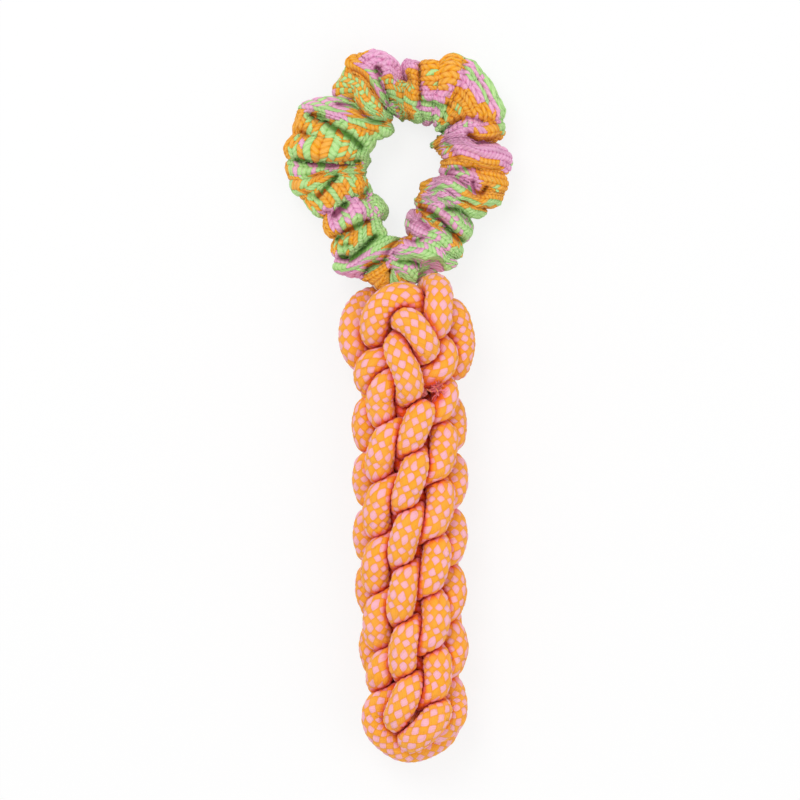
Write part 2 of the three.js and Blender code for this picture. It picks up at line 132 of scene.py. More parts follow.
def leg_point(leg, tier):
    """Place and radius of one of the plait's four legs, and 0 because it isn't free"""
    cycle = 2 * math.pi * tier
    outer = stepped(radius_steps, tier)
    lobe = 0.5 + 0.5 * math.cos(cycle)
    out = inner_route + (outer - lobe_radius - inner_route) * lobe
    turn = math.radians(-135) * tier + leg * math.pi / 2 + math.pi / 4
    turn += stepped(swing_steps, tier) * math.sin(cycle) + math.radians(stepped(twist_steps, tier))
    return (stepped(lean_steps, tier) + out * math.sin(turn),
            -tier_pitch * tier - leg_wave * math.sin(cycle),
            outer - flat_depth - settled_drop + out * math.cos(turn),
            inner_radius + (lobe_radius - inner_radius) * lobe, 0)


def lengths_along(points):
    """Length of a line up to each of its points"""
    return np.r_[0, np.cumsum(np.linalg.norm(np.diff(points[:, :3], axis=0), axis=1))]


def points_at(want, along, points):
    """Places at wanted lengths along a line"""
    return np.stack([np.interp(want, along, column) for column in points.T], 1)


def curve_through(points, spacing=0.0, count=0):
    """Points spaced evenly along a centripetal curve, with each one's place among the given points"""
    pts = np.array([p[:3] for p in points], float)
    n = len(pts)
    dense, place = [], []
    for i in range(n - 1):
        p1, p2 = pts[i], pts[i + 1]
        p0 = pts[i - 1] if i > 0 else 2 * p1 - p2
        p3 = pts[i + 2] if i + 2 < n else 2 * p2 - p1
        d0, d1, d2 = (max(1e-4, np.linalg.norm(b - a) ** 0.5) for a, b in ((p0, p1), (p1, p2), (p2, p3)))
        m1 = ((p1 - p0) / d0 - (p2 - p0) / (d0 + d1) + (p2 - p1) / d1) * d1
        m2 = ((p2 - p1) / d1 - (p3 - p1) / (d1 + d2) + (p3 - p2) / d2) * d1
        for k in range(40):
            t = k / 40
            dense.append(p1 * (2 * t ** 3 - 3 * t * t + 1) + m1 * (t ** 3 - 2 * t * t + t)
                         + p2 * (3 * t * t - 2 * t ** 3) + m2 * (t ** 3 - t * t))
            place.append(i + t)
    dense = np.array(dense + [pts[-1]])
    along = lengths_along(dense)
    count = count or max(2, round(along[-1] / spacing))
    want = np.linspace(0, along[-1], count + 1)
    return points_at(want, along, dense), np.interp(want, along, place + [n - 1])


def join_route(before, route, after):
    """Rows along chosen points, led on from the row before them and into the row after them"""
    ends = [before] + [(*p[:3], lobe_radius * (p[3] if len(p) > 3 else 1)) for p in route] + [after]
    known = [p for p in ends if p is not None]
    line, place = curve_through(known, point_spacing)
    radius = np.interp(place, np.arange(len(known)), [p[3] for p in known])
    rows = [(*p, r, 1) for p, r in zip(line, radius)]
    return rows[1 if before else 0:-1 if after else None]


def leg_run(leg):
    first, last = first_tiers[leg], last_tiers[leg]
    count = round((last - first) * steps_per_tier)
    return [leg_point(leg, first + k * (last - first) / count) for k in range(count + 1)]


def folded_cord(leg, other_leg, bight):
    down, other = leg_run(leg), leg_run(other_leg)
    foot = join_route(down[-1], foot_routes[leg], None)
    other_foot = join_route(other[-1], foot_routes[other_leg], None)
    over = join_route(down[0], head_starts[leg] + bight + head_starts[other_leg][::-1], other[0])
    return np.array(foot[::-1] + down[::-1] + over + other + other_foot)


def core_line():
    line, _ = curve_through(core_route, point_spacing)
    along = np.arange(len(line)) * point_spacing
    wound = (along >= whipping_from) & (along <= whipping_to)
    radius = core_radius + np.where(wound, clearance + whipping_thickness, 0)
    return np.c_[line, radius, np.ones(len(line))]


def settle(cords):
    """Lay the cords against each other, clear of the ring's neck, and near to their routes"""
    sizes = [len(c) for c in cords]
    rows = np.concatenate(cords)
    home, radius, free = rows[:, :3], rows[:, 3], rows[:, 4] > 0
    which = np.repeat(np.arange(len(cords)), sizes)
    along = np.concatenate([lengths_along(c) for c in cords])
    reach = radius[:, None] + radius
    own = (which[:, None] == which) & (np.abs(along[:, None] - along) < own_stretch * reach)
    starts = np.cumsum([0] + sizes[:-1])
    ends = starts + np.array(sizes) - 1
    before = np.maximum(np.arange(len(rows)) - 1, 0)
    after = np.minimum(np.arange(len(rows)) + 1, len(rows) - 1)
    before[starts], after[ends] = starts, ends
    smoothing = np.where(free, free_smoothing, leg_smoothing)
    smoothing[starts] = smoothing[ends] = 0
    hold = np.where(free, free_hold, leg_hold)
    at = home
    for _ in range(settle_rounds):
        gap = at[:, None] - at
        far = np.linalg.norm(gap, axis=2)
        np.fill_diagonal(far, FAR)
        need = reach + 2 * clearance - far
        need[own | (need < 0) | (np.abs(gap[:, :, 1]) > 2 * lobe_radius)] = 0
        push = ((need / (4 * far))[:, :, None] * gap).sum(1)
        for ball in neck_balls:
            gap = at - ball
            far = np.linalg.norm(gap, axis=1)
            push += (np.maximum(0, radius + ball_radius + clearance - far) / far)[:, None] * gap
        push += smoothing[:, None] * ((at[before] + at[after]) / 2 - at) + hold[:, None] * (home - at)
        at = at + push
    return [np.c_[at[s:s + n], radius[s:s + n]] for s, n in zip(starts, sizes)]


# The cords' own surfaces
CELLS_AROUND = 9
CELL_LONG = 3.6  # mm along the unbent cord for a pink and an orange row
ROW = 0.55  # mm between the mesh's rows
AROUND = 63  # points in each row
CORD_RADIUS = 6.05
LINE_STEP, LINE_BLUR = 0.2, 1.1  # mm
PRESS_RANGE = 1.5  # mm beyond touching at which a neighbour still counts
OWN_RANGE = 2.2  # mm along the cord within which it doesn't press on itself
END_LENGTH = 4.5  # mm over which a cut end is rounded off
STOPS_SHORT = 0.985  # share of the way to the plane between two cords that their surfaces reach
CROWDED_FROM, CROWDED_RANGE = 1.45, 0.55  # shading starts at this reach and grows over this, in radii
SHARPNESS = 7.0  # how sharply a pressed face meets the round one
SPRING_BACK = 0.12  # most mm that smoothing adds to a pressed face
CELL_HEIGHT, CREASE_DEPTH = 0.72, 0.5  # mm from crease to top of a cell, and of the crease under the radius
# Heights along the plait, and the share of its width and the mm sideways there
NARROWED = ([-128, -115, -90, -60, -14, 0], [1, 0.96, 0.96, 0.965, 0.965, 1])
MOVED = ([-128, -115, -95, -70], [0, 0.9, 0.9, 0])


def blur(values, sigma, closed=False):
    half = max(1, int(3 * sigma))
    kernel = np.exp(-0.5 * (np.arange(-half, half + 1) / sigma) ** 2)
    kernel /= kernel.sum()
    pad = np.pad(values, [(half, half)] + [(0, 0)] * (values.ndim - 1), mode="wrap" if closed else "edge")
    return sum(k * pad[i:i + len(values)] for i, k in enumerate(kernel))


def blur_tube(values, along, around):
    """Blur values over a grid that closes on itself sideways"""
    return blur(blur(values, along).T, around, closed=True).T


def fine_line(points):
    """Closely spaced rows of a smoothed centreline, x, y, z and thickness, with the length along at each"""
    along = lengths_along(points)
    dense = points_at(np.arange(0, along[-1], LINE_STEP), along, points)
    dense = blur(dense, LINE_BLUR / LINE_STEP)
    along = lengths_along(dense)
    want = np.linspace(0, along[-1], max(3, round(along[-1] / ROW)))
    return points_at(want, along, dense), want


def directions_round(line, count):
    """Directions square to a line at each of its points, turning as little as possible along it"""
    ahead = np.gradient(line, axis=0)
    ahead /= np.linalg.norm(ahead, axis=1)[:, None]
    side = np.cross([0, 0, 1.0], ahead[0])
    sides = []
    for a in ahead:
        side = side - a * side.dot(a)
        side /= np.linalg.norm(side)
        sides.append(side)
    sides = np.array(sides)
    turn = np.linspace(0, 2 * np.pi, count, endpoint=False)[None, :, None]
    return sides[:, None] * np.cos(turn) + np.cross(ahead, sides)[:, None] * np.sin(turn)


def tube_faces(n, m, caps=True):
    """All corners of the faces of a tube of n rows of m points, and how many of them each face has"""
    r, c = (index.ravel() for index in np.meshgrid(np.arange(n - 1), np.arange(m), indexing="ij"))
    d = (c + 1) % m
    corners = np.stack([r * m + c, r * m + d, (r + 1) * m + d, (r + 1) * m + c], 1).ravel()
    counts = np.full(len(r), 4)
    if caps:
        corners = np.r_[corners, np.arange(m)[::-1], (n - 1) * m + np.arange(m)]
        counts = np.r_[counts, m, m]
    return corners, counts


def make_piece(name, points, corners, counts):
    """A smooth piece of the scene from points in mm on the plait's own axes"""
    points = ((points + SHIFT).reshape(-1, 3) * MM).astype(np.float32)
    mesh = bpy.data.meshes.new(name)
    mesh.vertices.add(len(points))
    mesh.vertices.foreach_set("co", points.ravel())
    mesh.loops.add(len(corners))
    mesh.loops.foreach_set("vertex_index", corners.astype(np.int32))
    mesh.polygons.add(len(counts))
    mesh.polygons.foreach_set("loop_start", (np.cumsum(counts) - counts).astype(np.int32))
    mesh.polygons.foreach_set("loop_total", counts.astype(np.int32))
    mesh.polygons.foreach_set("use_smooth", np.ones(len(counts), bool))
    mesh.update(calc_edges=True)
    mesh.validate()
    piece = bpy.data.objects.new(name, mesh)
    bpy.context.scene.collection.objects.link(piece)
    return piece


def set_values(piece, name, values):
    """A number at each point of a piece, for its material"""
    layer = piece.data.attributes.new(name, "FLOAT", "POINT")
    layer.data.foreach_set("value", np.asarray(values, np.float32).ravel())


def corner_places(u, v):
    """Fabric places of each face's four corners, from the places at its rows and columns"""
    grid = np.stack(np.broadcast_arrays(u, v), 2)
    return np.stack([grid[:-1, :-1], grid[:-1, 1:], grid[1:, 1:], grid[1:, :-1]], 2)


def set_cloth(piece, places):
    """Lay a piece's fabric places on its faces, with none on its caps"""
    flat = np.zeros((len(piece.data.loops), 2), np.float32)
    flat[:places.size // 2] = places.reshape(-1, 2)
    piece.data.uv_layers.new(name="cloth").data.foreach_set("uv", flat.ravel())


def pillow(p, q):
    """Height of the braid's raised cells, from 0 in the creases to 1"""
    a, b = p - np.round(p), q - np.round(q)
    return np.sqrt(np.clip((1 - np.abs(2 * a) ** 2.4) * (1 - np.abs(2 * b) ** 2.4), 0, 1))


def to_plane(distance, facing):
    """Way to a plane at a distance, along directions whose cosines with the way straight there are given"""
    return np.where(facing > 0.02, distance / np.maximum(facing, 0.02), FAR)


def pressed(which, directions):
    """Reach of a cord's surface as its neighbours and the floor press on it, and how much painted shade it
    gets from how crowded it is there
    """
    line, along = lines[which]
    reach = np.full(directions.shape[:2], CORD_RADIUS)
    crowd_shade = np.zeros_like(reach)
    for i, point in enumerate(line):
        gap = crowd[:, :3] - point[:3]
        far = np.linalg.norm(gap, axis=1)
        near = (far < 2 * CORD_RADIUS + PRESS_RANGE) & (far > 1e-6)
        near &= ~((crowd[:, 4] == which) & (np.abs(crowd[:, 5] - along[i]) < OWN_RANGE))
        gap, far, thick = gap[near], far[near], crowd[near, 3]
        if len(gap):
            facing = (gap / far[:, None]) @ directions[i].T
            share = point[3] / (point[3] + thick)
            least = (to_plane((share * far)[:, None], facing) * STOPS_SHORT).min(0)
            crowd_shade[i] = np.clip((CROWDED_FROM * CORD_RADIUS - least) / (CROWDED_RANGE * CORD_RADIUS), 0, 1)
            reach[i] = (CORD_RADIUS ** -SHARPNESS + least ** -SHARPNESS) ** (-1 / SHARPNESS)
        reach[i] = np.minimum(reach[i], to_plane(point[2], -directions[i][:, 2]))
    return reach, crowd_shade


def cord_mesh(name, which):
    """One folded cord: a woven tube, pressed flat where it touches"""
    line, along = lines[which]
    directions = directions_round(line[:, :3], AROUND)
    reach, crowd_shade = pressed(which, directions)
    reach = np.minimum(blur_tube(reach, 0.9, 0.8), reach + SPRING_BACK)
    from_end = np.minimum(np.arange(len(line)), np.arange(len(line))[::-1]) * ROW
    taper = np.sqrt(np.clip(1 - (1 - np.minimum(from_end / END_LENGTH, 1)) ** 2, 0.02, 1))
    reach *= taper[:, None]
    u = np.arange(AROUND) * CELLS_AROUND / AROUND
    v = along[:, None] / CELL_LONG
    relief = (CELL_HEIGHT * pillow(u + v, u - v) - CREASE_DEPTH) * np.clip(reach / CORD_RADIUS, 0.3, 1)
    rows = line[:, None, :3] + directions * (reach + relief)[:, :, None]
    pocket = ball_radius + 0.2
    for ball in neck_balls:
        gap = rows - ball
        far = np.linalg.norm(gap, axis=2, keepdims=True)
        rows = np.where(far < pocket, ball + gap * (pocket / np.maximum(far, 1e-6)), rows)
    rows[:, :, 2] = np.maximum(rows[:, :, 2], 0)
    piece = make_piece(name, rows[:, ::-1], *tube_faces(*rows.shape[:2]))
    set_cloth(piece, corner_places(np.linspace(CELLS_AROUND, 0, AROUND + 1), v))
    # how crowded each point is, for the material's painted shade between cords
    set_values(piece, "crowd_shade", blur_tube(crowd_shade, 1.5, 1.2)[:, ::-1])
    return piece


cords = settle([folded_cord(0, 2, first_bight), folded_cord(1, 3, second_bight), core_line()])
for cord in cords:
    cord[:, 0] *= np.interp(cord[:, 1], *NARROWED)
    cord[:, 0] += np.interp(cord[:, 1], *MOVED)
lines = [fine_line(c) for c in cords]
# Every stretch of cord that may press on another: its row of the line, its cord's number and its place along
crowd = np.concatenate([np.c_[line, np.full(len(line), which), along][::2]
                        for which, (line, along) in enumerate(lines)])
plait_1 = cord_mesh("plaited_cord_1", 0)
plait_2 = cord_mesh("plaited_cord_2", 1)


# Materials
def srgb(r, g, b):
    return tuple((c / 12.92 if c <= 0.04045 else ((c + 0.055) / 1.055) ** 2.4) for c in (r, g, b)) + (1.0,)


class Wire:
    """A value in a material's nodes. Arithmetic with it adds the nodes for that."""

    def __init__(self, nodes, socket):
        self.nodes = nodes
        self.socket = socket

    def math(self, operation, *others):
        return self.nodes.math(operation, self, *others)

    def __rsub__(self, other):
        return self.nodes.math("SUBTRACT", other, self)

    __add__ = partialmethod(math, "ADD")
    __sub__ = partialmethod(math, "SUBTRACT")
    __mul__ = partialmethod(math, "MULTIPLY")
    __truediv__ = partialmethod(math, "DIVIDE")
    __mod__ = partialmethod(math, "FLOORED_MODULO")
    __pow__ = partialmethod(math, "POWER")
    __abs__ = partialmethod(math, "ABSOLUTE")


class Nodes:
    """Short calls that add nodes to one material"""

    def __init__(self, name, rough=0.85, sheen=0.15):
        self.mat = bpy.data.materials.new(name)
        self.mat.use_nodes = True
        self.tree = self.mat.node_tree
        self.shader = self.tree.nodes["Principled BSDF"]
        for socket, value in (("Roughness", rough), ("Specular IOR Level", 0.2), ("Sheen Weight", sheen),
                              ("Sheen Roughness", 0.5)):
            self.put(self.shader.inputs[socket], value)

    def put(self, socket, value):
        if isinstance(value, Wire):
            self.tree.links.new(value.socket, socket)
        else:
            socket.default_value = value

    def add(self, kind, inputs=None, out=0, **settings):
        """Add a node with its inputs by name or number, and give one of its outputs"""
        node = self.tree.nodes.new(kind)
        for key, value in settings.items():
            setattr(node, key, value)
        for key, value in (inputs or {}).items():
            self.put(node.inputs[key], value)
        return Wire(self, node.outputs[out])

    def math(self, operation, *values):
        return self.add("ShaderNodeMath", dict(enumerate(values)), operation=operation)

    def mix(self, share, a, b, blend="MIX"):
        return self.add("ShaderNodeMix", {0: share, 6: a, 7: b}, out=2, data_type="RGBA", blend_type=blend)

    def times(self, a, b):
        """Product of two colours"""
        return self.mix(1, a, b, "MULTIPLY")

    def noise(self, vector, scale, detail=2, rough=0.5):
        inputs = {"Vector": vector, "Scale": scale, "Detail": detail, "Roughness": rough}
        return self.add("ShaderNodeTexNoise", inputs)

    def split(self, vector):
        first = self.add("ShaderNodeSeparateXYZ", {0: vector})
        return [Wire(self, socket) for socket in first.socket.node.outputs]

    def uv(self):
        return self.split(self.add("ShaderNodeUVMap", uv_map="cloth"))[:2]

    def place(self):
        return self.add("ShaderNodeTexCoord", out="Object")

    def attribute(self, name, out=2):
        """A mesh's own values: output 2 is a number and output 0 a colour"""
        return self.add("ShaderNodeAttribute", out=out, attribute_name=name)

    def random(self, *values):
        joined = self.add("ShaderNodeCombineXYZ", dict(enumerate(values)))
        return self.add("ShaderNodeTexWhiteNoise", {"Vector": joined}, out="Value", noise_dimensions="3D")

    def ramp(self, value, low, high, to_low=0, to_high=1):
        return self.add("ShaderNodeMapRange", dict(enumerate((value, low, high, to_low, to_high))))

    def bump(self, height, strength, distance):
        return self.add("ShaderNodeBump", {"Strength": strength, "Distance": distance, "Height": height})

    def finish(self, colour, normal):
        self.put(self.shader.inputs["Base Color"], colour)
        self.put(self.shader.inputs["Normal"], normal)
        return self.mat


def cord_material(name, seed):
    """Diagonal cells of pink and orange yarn by turns, with painted highlights and painted shade"""
    n = Nodes(name)
    u, v = n.uv()
    place = n.place()
    u = u + (n.noise(place, 260, 1) - 0.5) * 0.22
    v = v + (n.noise(place, 310, 1) - 0.5) * 0.22
    p, q = u + v, u - v
    cell_p, cell_q = p.math("ROUND"), q.math("ROUND")
    a, b = p - cell_p, q - cell_q
    row = cell_p - cell_q
    pink_row = abs(row.math("PINGPONG", 1) - 1).math("LESS_THAN", 0.5)
    column = (cell_p + cell_q) * 0.5 % CELLS_AROUND
    chance = n.random(row, column, seed)
    far_a, far_b = abs(a * 2) ** 3, abs(b * 2) ** 3
    crease = far_a + far_b
    edge = chance * 0.24 + 0.46
    pink = pink_row * n.ramp(far_a ** 1.7 + far_b ** 1.7 - edge, -0.24, 0.26, 1, 0)
    across = pink_row * b + (1 - pink_row) * a
    fibre = n.noise(place, 900, 3, 0.6)
    mottle = n.noise(place, 160)
    yarns = abs(((across + (mottle - 0.5) * 0.12) * (math.pi * 4)).math("SINE"))
    pale = n.mix(pink, srgb(1.0, 0.72, 0.30), srgb(0.99, 0.76, 0.80))
    # dark: painted shade colour for the grooves between yarns
    dark = n.mix(pink, srgb(0.86, 0.42, 0.04), srgb(0.84, 0.42, 0.46))
    # light: painted highlight colour for the raised middle of each cell
    light = n.mix(pink, srgb(1.0, 0.72, 0.26), srgb(1.0, 0.78, 0.84))
    colour = n.mix(pink, srgb(1.0, 0.655, 0.16), srgb(0.975, 0.685, 0.74))
    colour = n.mix(n.ramp(chance, 0, 1, 0, 0.16), colour, pale)
    colour = n.mix(n.ramp(mottle, 0.42, 0.72, 0, 0.22), colour, srgb(1.0, 0.70, 0.47))
    # painted shade: darker in the grooves between yarns
    colour = n.mix(n.ramp(yarns, 0, 0.4, 0.16, 0), colour, dark)
    # painted highlight: lighter towards each cell's raised middle
    colour = n.mix(n.ramp(crease, 0, 0.75, 0.34, 0), colour, light)
    # painted shade: deeper orange towards the creases at each cell's edge
    colour = n.mix(n.ramp(crease, 0.6, 1.8, 0, 0.5), colour, srgb(0.94, 0.60, 0.26))
    # deep: painted shade colour, the colour squared and reddened
    deep = n.times(n.times(colour, colour), srgb(1.0, 0.80, 0.72))
    # painted shade where neighbouring cords crowd the surface
    colour = n.mix(n.ramp(n.attribute("crowd_shade"), 0.25, 1), colour, deep)
    height = yarns * 0.5 + fibre * 0.5 - crease * 0.5
    return n.finish(colour, n.bump(height, 0.6, 0.0004))


plait_1.data.materials.append(cord_material("checked_cord_1", 1))
plait_2.data.materials.append(cord_material("checked_cord_2", 2))
for piece, node in ((plait_1, "plait_cord_1"), (plait_2, "plait_cord_2")):
    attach(piece, "stick")
    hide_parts(node)

# The core's frayed end, standing out between the cords
YARN_COUNT, YARN_ROWS, YARN_SIDES = 46, 8, 6
YARN_BASE = np.array([10.6, 3.1, 35.0])
YARN_LEAN = np.array([0.34, 0.10, 0.93])


def frayed_yarns():
    rng = np.random.default_rng(4)
    t = np.linspace(0, 1, YARN_ROWS)[:, None]
    points, shades = [], []
    for _ in range(YARN_COUNT):
        way = YARN_LEAN + rng.normal(0, 0.42, 3) * (1, 1, 0.5)
        way /= np.linalg.norm(way)
        start = YARN_BASE + rng.normal(0, 0.9, 3) * (1, 1, 0.3)
        length = rng.uniform(2.2, 4.4)
        bend = rng.normal(0, 0.8, 3)
        wave = np.sin(t * rng.uniform(4, 8)) * rng.normal(0, 0.25, 3)
        line = start + way * length * t + bend * t ** 2 * 1.3 + wave
        thick = rng.uniform(0.28, 0.46) * (1 - 0.5 * t)
        points.append(line[:, None] + directions_round(line, YARN_SIDES) * thick[:, :, None])
        shades.append(rng.random())
    corners, counts = tube_faces(YARN_ROWS, YARN_SIDES)
    firsts = np.arange(YARN_COUNT)[:, None] * YARN_ROWS * YARN_SIDES
    corners = (firsts + corners).ravel()
    piece = make_piece("frayed_yarns", np.array(points), corners, np.tile(counts, YARN_COUNT))
    set_values(piece, "shade", np.repeat(shades, YARN_ROWS * YARN_SIDES))
    return piece


def frayed_material():
    n = Nodes("frayed_yarn", rough=0.75, sheen=0.3)
    shade = n.attribute("shade")
    fibre = n.noise(n.place(), 2400, 3, 0.6)
    colour = n.mix(n.ramp(shade, 0.35, 0.65), srgb(0.97, 0.52, 0.56), srgb(0.84, 0.30, 0.33))
    colour = n.mix(n.ramp(shade, 0.86, 0.9), colour, srgb(1.0, 0.62, 0.30))
    colour = n.mix(n.ramp(fibre, 0.35, 0.7, 0, 0.4), colour, srgb(1.0, 0.72, 0.72))
    return n.finish(colour, n.bump(fibre, 0.5, 0.00015))


yarns = frayed_yarns()
yarns.data.materials.append(frayed_material())
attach(yarns, "stick")
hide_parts("frayed_end")

# Pieces that keep their solids: material's name, light colour and dark one (painted shade in the grooves
# between turns, and fibre flecks), turns and their slant, and the fineness of the fibres
THREADS = {
    "core_cord": ("core_yarn", (0.97, 0.62, 0.60), (0.78, 0.34, 0.34), 480, (0.6, 0.8, 0.3), 1500),
    "lower_whipping": ("whipping_thread", (0.96, 0.88, 0.74), (0.74, 0.62, 0.46), 900, (0.05, 1, 0.05), 2200),
    "ring_elastic": ("elastic_braid", (0.95, 0.94, 0.91), (0.72, 0.71, 0.68), 620, (0.8, 0.7, 0.5), 1800),
    "elastic_join": ("join_thread", (0.93, 0.91, 0.86), (0.68, 0.65, 0.60), 900, (1.0, 0.2, 0.3), 2200),
    "ring_lashing": ("lashing_thread", (1.0, 0.68, 0.20), (0.84, 0.42, 0.08), 760, (1.0, 0.15, 0.1), 2200),
}


def thread_material(name, light, dark, turns, slant, fine):
    """Wound or braided yarn: slanted turns with fibres along them, and painted shade between the turns"""
    n = Nodes(name, rough=0.8, sheen=0.3)
    place = n.place()
    x, y, z = n.split(place)
    run = x * slant[0] + y * slant[1] + (z * slant[2] + n.noise(place, 300) * 0.0008)
    turn = abs((run * (math.pi * turns)).math("SINE"))
    fibre = n.noise(place, fine, 3, 0.6)
    # painted shade: the dark colour in the grooves between turns
    colour = n.mix(n.ramp(turn, 0, 0.6), srgb(*dark), srgb(*light))
    colour = n.mix(n.ramp(fibre, 0.35, 0.75, 0, 0.35), colour, srgb(*dark))
    return n.finish(colour, n.bump(turn + fibre * 0.4, 0.8, 0.0004))


for node, values in THREADS.items():
    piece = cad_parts[node]
    piece.data.materials.clear()
    piece.data.materials.append(thread_material(*values))

# The ring's gathered sleeve. These layouts are drawn in places of the photograph.
# Each fold: its crest from the ring's outer edge to its inner edge, the height of the band's middle and
# half its thickness there, its rise over that, where the valley after it lies between the two crests, the
# valley's depth at the outer edge, in the middle and at the inner edge, and its yarns, along its crest (c)
# or across (w).
# O is orange, G is green and P is pink. x is orange and green by turns, and y is pink and green.
FOLDS = [
    ("390,296 390,290 390,284 390,278 390,271", 21.5, 8.3, 0, 0.5, (0, 0, 0), "c", "OOOO"),
    ("377,291 380,287 383,282 385,276 387,269", 22, 8.9, 0, 0.5, (1, 1, 1), "c", "OOOO"),
    ("366,282 373,279 380,275 388,269 395,261", 21, 9.5, 0, 0.35, (3, 4.5, 4), "c", "GOOOOG"),
    ("334,276 348,274 364,264 381,251 400,239", 18, 10.8, 1.0, 0.55, (6, 5.5, 5), "c", "PyGPGG"),
    ("329,255 341,252 355,244 367,236 386,226", 15.8, 11.2, 0, 0.50, (6, 3.5, 0.5), "w", "OGOGxGG"),
    ("323,229 336,223 350,217 366,211 387,211", 14.5, 12.0, 0.6, 0.50, (6, 2.5, 4.5), "w", "OPGPGPGyG"),
    ("312,207 322,201 334,192 349,184 370,181", 13.5, 12.2, 0.5, 0.55, (1.5, 2.5, 1), "w", "GOGOxGxG"),
    ("288,188 303,187 318,181 334,174 368,169", 12.8, 12.0, -0.3, 0.45, (1, 1.5, 0.5), "c", "OOGGOG"),
    ("284,165 297,168 312,170 330,167 368,163", 12.7, 11.8, -1.2, 0.42, (1.5, 3.5, 1), "c", "GyyyG"),
    ("285,147 304,147 321,148 343,152 371,157", 12.7, 12.3, 0.8, 0.50, (3, 0.6, 0.5), "w", "OGOGOGxGGxGG"),
    ("299,121 312,124 326,128 344,136 371,148", 12.7, 12.3, 0.9, 0.55, (1, 3.5, 4), "w", "OOGOGxGxGG"),
    ("302,105 315,106 332,112 353,121 393,129", 12.7, 12.4, 0.4, 0.60, (12, 3, 2), "c",
     "OGPG|GOGPGP|GOGPGP|GOGOGG"),
    ("341,79 350,85 361,97 374,109 395,118", 12.7, 12.5, 1.0, 0.60, (2.5, 2.5, 4), "c", "POxOxOO"),
    ("350,56 360,66 370,78 381,93 397,115", 12.7, 12.0, -0.2, 0.45, (1, 3.5, 4), "c",
     "OOOO|PyPyG|PGyGyP|GyPyGy"),
    ("377,47 386,56 391,71 395,91 404,117", 12.7, 12.4, 0.7, 0.60, (14, 2.5, 2.5), "w", "PPPPOxOGOG"),
    ("410,56 411,70 412,86 412,101 413,122", 12.7, 12.2, 0, 0.50, (1.5, 3, 1), "w", "PPOOxOGxOG"),
    ("427,57 432,74 433,89 431,104 427,124", 12.7, 12.0, 0, 0.50, (3.5, 1.5, 2), "w", "OGOOGOPPGPGP"),
    ("454,53 454,67 451,83 444,99 436,127", 12.7, 12.2, 0.4, 0.50, (0.5, 2, 2), "w", "OGOOOxPPGOG"),
    ("476,60 470,74 462,88 451,103 438,130", 12.7, 12.3, 0, 0.50, (0.3, 1, 1), "w", "GPGPPOOGOG"),
    ("493,83 483,91 470,101 458,112 439,131", 12.7, 12.3, 0.3, 0.50, (0.3, 0.6, 1), "w", "GPGPPOOGOOG"),
    ("505,109 491,112 476,115 460,120 439,132", 12.7, 12.2, 0, 0.45, (2, 2, 1.5), "w", "GPGPOOOOGOG"),
    ("506,129 491,133 475,132 460,131 434,138", 12.7, 12.2, 0.6, 0.45, (8.5, 3, 0.6), "c",
     "OOOO|OOOO|PPPP|PyPP"),
    ("510,160 495,155 478,151 461,147 436,152", 12.7, 12.5, 1.3, 0.62, (3, 2, 1), "c", "PyPPyPOO"),
    ("507,184 493,182 479,179 465,174 447,168", 12.7, 11.6, -0.8, 0.35, (1, 3.5, 5), "c",
     "OxOO|OxOO|OyPPy|OGOPyPP"),
    ("500,203 484,200 467,193 448,184 426,182", 13.2, 12.4, 1.3, 0.62, (4, 2.5, 1), "c",
     "OGGOG|PGPGO|PyPGP|PyPGP"),
    ("486,214 472,211 458,205 444,197 421,193", 13.8, 12.0, -0.3, 0.45, (5.5, 2, 1), "c", "GOGxG|GPyGP"),
    ("475,236 462,227 449,215 436,204 416,200", 14.6, 12.2, 0.9, 0.60, (3.5, 4, 6), "c", "GPGyG"),
    ("463,257 450,246 436,235 424,225 411,217", 16.1, 11.6, -0.3, 0.45, (2.5, 2.5, 5), "c", "GxG|yPy|yPyP"),
    ("454,264 438,261 421,256 407,250 396,243", 18.4, 11.6, 1.6, 0.40, (9, 4, 2), "c", "GPGyGPO"),
    ("430,282 418,279 406,273 395,266 385,258", 21, 10.2, 0, 0.60, (3, 3.5, 3), "c", "GyGyGO"),
    ("405,294 402,289 399,283 395,276 391,268", 22, 8.9, 0, 0.5, (1, 1, 1), "c", "GGGG"),
    ("390,296 390,290 390,284 390,278 390,271", 22, 8.3, 0, 0.5, (0, 0, 0), "c", "GGGG"),
]
